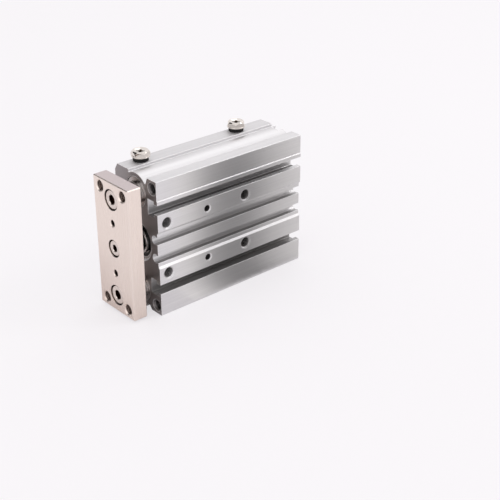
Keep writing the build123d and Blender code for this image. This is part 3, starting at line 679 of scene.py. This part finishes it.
def carve(piece, tool, how="DIFFERENCE"):
    """Cuts, joins or trims a piece with another mesh, which is used up."""
    only(piece)
    change = piece.modifiers.new("carve", "BOOLEAN")
    change.operation = how
    change.solver = "EXACT"
    change.object = tool
    bpy.ops.object.modifier_apply(modifier=change.name)
    bpy.data.objects.remove(tool)


def break_edges(piece, width, segments, angle=40):
    """Rounds the sharp edges of a piece by a small width."""
    only(piece)
    change = piece.modifiers.new("break_edges", "BEVEL")
    change.width = width
    change.segments = segments
    change.limit_method = "ANGLE"
    change.angle_limit = radians(angle)
    bpy.ops.object.modifier_apply(modifier=change.name)


def set_down(piece, name, body, finish, smooth=35):
    """Shrinks a finished piece to metres, puts its place into its mesh, and lets it ride."""
    only(piece)
    bpy.ops.object.shade_smooth_by_angle(angle=radians(smooth))
    bpy.ops.object.transform_apply(location=True, rotation=True, scale=True)
    piece.scale = (0.001, 0.001, 0.001)
    bpy.ops.object.transform_apply(location=False, rotation=False, scale=True)
    piece.name = name
    piece.data.materials.clear()
    piece.data.materials.append(finish)
    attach(piece, body)
    print(name, "has", len(piece.data.polygons), "faces")
    return piece


# %% [markdown]
# ## Port plugs
#
# Each top port is closed by a plug with a hexagon head, dished on top, with a cross for a driver. It
# starts as a six-sided prism. A cone trims its corners to the usual round bevel, a thin round flange
# and a shank are joined under it, a large sphere hollows the dish, and two tapered bars sink the
# cross. Cutting with whole shapes is the way a real head is turned and pressed, and it leaves clean
# faces. The two plugs stopped at different angles when they were screwed in.

# %% Plugs
plug_finish = metal("plug_nickel", (0.84, 0.79, 0.74), (0.72, 0.67, 0.62), 0.1,
                    (200.0, 200.0, 2500.0), edge=(0.95, 0.92, 0.88), edge_radius=0.0001)
tree = plug_finish.node_tree
# Painted shade: the cross recesses of both plugs are made dark.
cross_shade_masks = [block(tree, coordinates(tree), (-0.0095, along, 0.0674), (0.0022, 0.0022, 0.0008))
           for along in (-0.025, 0.0295)]
toned(plug_finish, joined(tree, "MAXIMUM", *cross_shade_masks), (0.1, 0.08, 0.065))
PORTS = {"front": (-9.5, -25.0, 48.8), "rear": (-9.5, 29.5, -41.2)}
HEAD_TOP = 68.7
HEXAGON_RADIUS, HEXAGON_DEPTH = 4.33, 2.3
FLANGE_FOOT = 65.9
FLANGE_RADIUS, FLANGE_DEPTH = 4.2, 0.6
SHANK_RADIUS, SHANK_LENGTH = 2.05, 6.6
DISH_RADIUS, DISH_RISE = 6.9, 6.3


def port_plug(x, y, turn):
    """A flanged hexagon plug with a dished, cross-recessed top."""
    bpy.ops.mesh.primitive_cylinder_add(vertices=6, radius=HEXAGON_RADIUS, depth=HEXAGON_DEPTH,
                                        location=(x, y, HEAD_TOP - HEXAGON_DEPTH / 2))
    plug = bpy.context.object
    bpy.ops.transform.rotate(value=radians(30 - turn), orient_axis="Z", center_override=(x, y, 0.0))
    bpy.ops.mesh.primitive_cone_add(vertices=96, radius1=6.9, radius2=3.4, depth=3.5,
                                    location=(x, y, HEAD_TOP - 1.75))
    carve(plug, bpy.context.object, "INTERSECT")
    bpy.ops.mesh.primitive_cylinder_add(vertices=96, radius=FLANGE_RADIUS, depth=FLANGE_DEPTH,
                                        location=(x, y, FLANGE_FOOT + FLANGE_DEPTH / 2))
    flange = bpy.context.object
    break_edges(flange, 0.15, 3)
    carve(plug, flange, "UNION")
    bpy.ops.mesh.primitive_cylinder_add(vertices=48, radius=SHANK_RADIUS, depth=SHANK_LENGTH,
                                        location=(x, y, FLANGE_FOOT - 3.1))
    carve(plug, bpy.context.object, "UNION")
    bpy.ops.mesh.primitive_uv_sphere_add(segments=96, ring_count=48, radius=DISH_RADIUS,
                                         location=(x, y, HEAD_TOP + DISH_RISE))
    carve(plug, bpy.context.object)
    for quarter in (0, 90):
        bpy.ops.mesh.primitive_cube_add(size=1.0, location=(x, y, HEAD_TOP - 0.6),
                                        scale=(4.0, 1.1, 1.8))
        bar = bpy.context.object
        bpy.ops.object.transform_apply(location=False, rotation=False, scale=True)
        choose(bar, lambda middle, normal: normal.z < -0.9)
        bpy.ops.transform.resize(value=(0.75, 0.6, 1.0))
        done()
        bpy.ops.transform.rotate(value=-radians(turn + quarter), orient_axis="Z",
                                 center_override=(x, y, 0.0))
        carve(plug, bar)
    return plug


for end, (x, y, turn) in PORTS.items():
    plug = set_down(port_plug(x, y, turn), "port_plug_" + end, "cylinder_body",
                    plug_finish, 25)
    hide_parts("port_plugs")

# %% [markdown]
# ## Gaskets
#
# Under each plug sits a black ring of rubber, thicker than a washer. It is a cylinder whose two ends
# are inset and opened, and whose rims are then bridged to make the hole. The edges are rounded, as
# on a moulded ring.

# %% Gaskets
GASKET_RADIUS, GASKET_DEPTH, GASKET_WALL = 3.5, 1.9, 1.0
GASKET_MIDDLE = 64.95


def gasket(x, y):
    """A thick rubber ring on the port's face."""
    bpy.ops.mesh.primitive_cylinder_add(vertices=96, radius=GASKET_RADIUS, depth=GASKET_DEPTH,
                                        location=(x, y, GASKET_MIDDLE))
    ring = bpy.context.object
    choose(ring, lambda middle, normal: abs(normal.z) > 0.9)
    bpy.ops.mesh.inset(thickness=GASKET_WALL)
    bpy.ops.mesh.delete(type="FACE")
    bpy.ops.mesh.select_mode(type="EDGE")
    bpy.ops.mesh.select_non_manifold(extend=False)
    bpy.ops.mesh.bridge_edge_loops()
    bpy.ops.mesh.select_all(action="SELECT")
    bpy.ops.mesh.normals_make_consistent(inside=False)
    done()
    break_edges(ring, 0.2, 4)
    return ring


for end, (x, y, _) in PORTS.items():
    ring = set_down(gasket(x, y), "port_gasket_" + end, "cylinder_body",
                    rubber_finish)
    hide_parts("port_gaskets")

# %% [markdown]
# ## Socket bolts
#
# Three low-headed bolts hold the rods to the plate: two large ones for the guide rods and a smaller
# one for the piston rod. A head is a cylinder with its front rim bevelled round in edit mode. The
# key's socket is a six-sided cutter with a pointed bottom, as the punch leaves it, and a shallow
# cone opens its mouth. The shank is drawn out of the back by an inset and an extrusion.

# %% Bolts
bolt_finish = metal("bolt_nickel", (0.8, 0.72, 0.66), (0.66, 0.58, 0.53), 0.2,
                    (1200.0, 1200.0, 1200.0), edge=(0.92, 0.87, 0.83), edge_radius=0.0001)
tree = bolt_finish.node_tree
# Painted shade: the hex sockets of the three bolts are made dark.
socket_shade_masks = [block(tree, coordinates(tree), (0.0, -0.0462, height), (0.0026, 0.00115, 0.0026))
           for height in (0.055, 0.032, 0.009)]
toned(bolt_finish, joined(tree, "MAXIMUM", *socket_shade_masks), (0.12, 0.075, 0.06))


def along_y(radius, length, front, height, vertices=96, tip=None):
    """A cylinder along Y from a front plane, or a cone if its tip has another radius."""
    place = (0.0, front + length / 2, height)
    turned = (radians(90), 0.0, 0.0)
    if tip is None:
        bpy.ops.mesh.primitive_cylinder_add(vertices=vertices, radius=radius, depth=length,
                                            location=place, rotation=turned)
    else:
        bpy.ops.mesh.primitive_cone_add(vertices=vertices, radius1=tip, radius2=radius, depth=length,
                                        location=place, rotation=turned)
    piece = bpy.context.object
    bpy.ops.object.transform_apply(location=False, rotation=True, scale=True)
    return piece


def socket_bolt(radius, head, seat, shank, end, key, height):
    """A socket bolt whose head sits at a seat and whose shank points to the rear."""
    front = seat - head
    bolt = along_y(radius, head, front, height)
    choose(bolt, lambda middle, way: (middle.y < -0.49 * head
                                      and hypot(middle.x, middle.z) > 0.9 * radius), "EDGE")
    bpy.ops.mesh.bevel(offset=0.35, segments=5)
    done()
    choose(bolt, lambda middle, normal: normal.y > 0.9)
    bpy.ops.mesh.inset(thickness=radius - shank)
    bpy.ops.mesh.extrude_region_move(TRANSFORM_OT_translate={"value": (0.0, end - seat, 0.0)})
    done()
    corner = key / 2 / cos(radians(30))
    punch = along_y(corner, 2.2, front - 0.1, height, vertices=6)
    choose(punch, lambda middle, normal: normal.y > 0.9)
    bpy.ops.mesh.extrude_region_move(TRANSFORM_OT_translate={"value": (0.0, 0.6, 0.0)})
    bpy.ops.transform.resize(value=(0.08, 0.08, 0.08))
    done()
    carve(bolt, punch)
    carve(bolt, along_y(corner + 0.15, 0.35, front - 0.05, height, tip=corner - 0.2))
    return bolt


BOLT_END = -29.0
for where, height in (("upper", 55.0), ("lower", 9.0)):
    bolt = socket_bolt(radius=4.25, head=3.9, seat=-43.7, shank=2.05, end=BOLT_END, key=4.0,
                       height=height)
    set_down(bolt, "guide_rod_bolt_" + where, "moving_plate", bolt_finish)
    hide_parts("guide_rod_bolts")
bolt = socket_bolt(radius=3.5, head=3.4, seat=-44.2, shank=1.6, end=BOLT_END, key=3.0,
                   height=32.0)
set_down(bolt, "piston_rod_bolt_dressed", "moving_plate", bolt_finish)
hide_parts("piston_rod_bolt")

# %% [markdown]
# ## Threads
#
# The tapped holes are plain bores in the model. Here each one gets its thread: a small trapezium,
# shaped from a plane, is wound along the bore by a Screw modifier at the real pitch of 0.8 mm, so
# that its crests stand just inside the bore. One is wound for each length, and the others are
# copies with a mesh of their own. The threads are much darker than the faces they are cut in, as
# painted shade inside the holes, and the two behind the plate, which get no light at all, are
# darkest.

# %% Threads
PITCH = 0.8
RIDGE_DEPTH, RIDGE_WIDTH, RIDGE_SUNK = 0.2, 0.74, 0.03
STEPS_A_TURN = 32
CUT_GRAIN = (1500.0, 1500.0, 1500.0)
# Painted shade: the thread finishes are dark, for the inside of the holes.
shaded_cut_aluminium = metal("shaded_cut_aluminium", (0.42, 0.41, 0.41), (0.24, 0.23, 0.23), 0.3, CUT_GRAIN,
                      edge=(0.85, 0.84, 0.84))
shaded_thread = metal("shaded_thread", (0.12, 0.11, 0.11), (0.07, 0.065, 0.065), 0.35, CUT_GRAIN,
                      edge=(0.2, 0.19, 0.19))
shaded_cut_steel = metal("shaded_cut_steel", (0.3, 0.23, 0.2), (0.18, 0.135, 0.115), 0.3, CUT_GRAIN,
                  edge=(0.6, 0.52, 0.47))


def thread(length, bore=2.1):
    """A wound ridge for a tapped hole, along +Z from the origin."""
    bpy.ops.mesh.primitive_plane_add(size=1.0, rotation=(radians(90), 0.0, 0.0),
                                     location=(bore + RIDGE_SUNK - RIDGE_DEPTH / 2, 0.0, 0.45))
    ridge = bpy.context.object
    ridge.scale = (RIDGE_DEPTH, RIDGE_WIDTH, 1.0)
    bpy.ops.object.transform_apply(location=True, rotation=True, scale=True)
    choose(ridge, lambda middle, way: middle.x < bore - 0.1 and abs(way.z) > 0.5, "EDGE")
    bpy.ops.transform.resize(value=(1.0, 1.0, 0.15))
    done()
    wind = ridge.modifiers.new("wind", "SCREW")
    wind.axis = "Z"
    wind.screw_offset = PITCH
    wind.iterations = int((length - 0.9) / PITCH)
    wind.steps = STEPS_A_TURN
    wind.render_steps = STEPS_A_TURN
    only(ridge)
    bpy.ops.object.modifier_apply(modifier=wind.name)
    bpy.ops.object.mode_set(mode="EDIT")
    bpy.ops.mesh.select_all(action="SELECT")
    bpy.ops.mesh.remove_doubles(threshold=0.0001)
    bpy.ops.mesh.fill_holes(sides=8)
    bpy.ops.mesh.select_all(action="SELECT")
    bpy.ops.mesh.normals_make_consistent(inside=False)
    done()
    return ridge


TURNS = {
    "-Y": (radians(90), 0.0, 0.0),
    "+Y": (radians(-90), 0.0, 0.0),
    "-X": (0.0, radians(-90), 0.0),
    "+X": (0.0, radians(90), 0.0),
}


def tap(model, name, place, way, body, finish):
    """Copies a thread into a hole, whose mouth is at a place and which runs in a direction."""
    only(model)
    bpy.ops.object.duplicate(linked=False)
    copy = bpy.context.object
    copy.location = place
    copy.rotation_euler = TURNS[way]
    return set_down(copy, name, body, finish, 40)


# Where the threads' mouths stand, a little under the faces they are cut in.
PLATE_MOUTH = -47.2
SIDE_MOUTH = 14.25
REAR_MOUTH = 47.2
FRONT_MOUTH = -34.2
PORT_MOUTH = -14.2
plate_thread = thread(6.0)
long_thread = thread(11.0)
side_thread = thread(10.0, 2.15)
port_thread = thread(4.2)
for column, x in (("left", -8.0), ("right", 8.0)):
    for row, z in (("lower", 5.0), ("upper", 59.0)):
        tap(plate_thread, f"plate_thread_{row}_{column}", (x, PLATE_MOUTH, z), "+Y",
            "moving_plate", shaded_cut_steel)
for end, y in (("front", -30.0), ("rear", 14.0)):
    for row, z in (("lower", 20.0), ("upper", 44.0)):
        tap(side_thread, f"side_thread_{row}_{end}", (SIDE_MOUTH, y, z), "-X",
            "cylinder_body", shaded_cut_aluminium)
for side, x in (("port", -11.0), ("slot", 11.0)):
    for row, z in (("lower", 4.0), ("upper", 60.0)):
        tap(long_thread, f"rear_thread_{row}_{side}", (x, REAR_MOUTH, z), "-Y",
            "cylinder_body", shaded_cut_aluminium)
for row, z in (("lower", 4.0), ("upper", 60.0)):
    tap(long_thread, f"front_thread_{row}", (11.6, FRONT_MOUTH, z), "+Y",
        "cylinder_body", shaded_thread)
for end, y in (("front", -25.0), ("rear", 41.5)):
    tap(port_thread, f"port_thread_{end}", (PORT_MOUTH, y, 53.5), "+X",
        "cylinder_body", shaded_cut_aluminium)
for model in (plate_thread, long_thread, side_thread, port_thread):
    bpy.data.objects.remove(model)
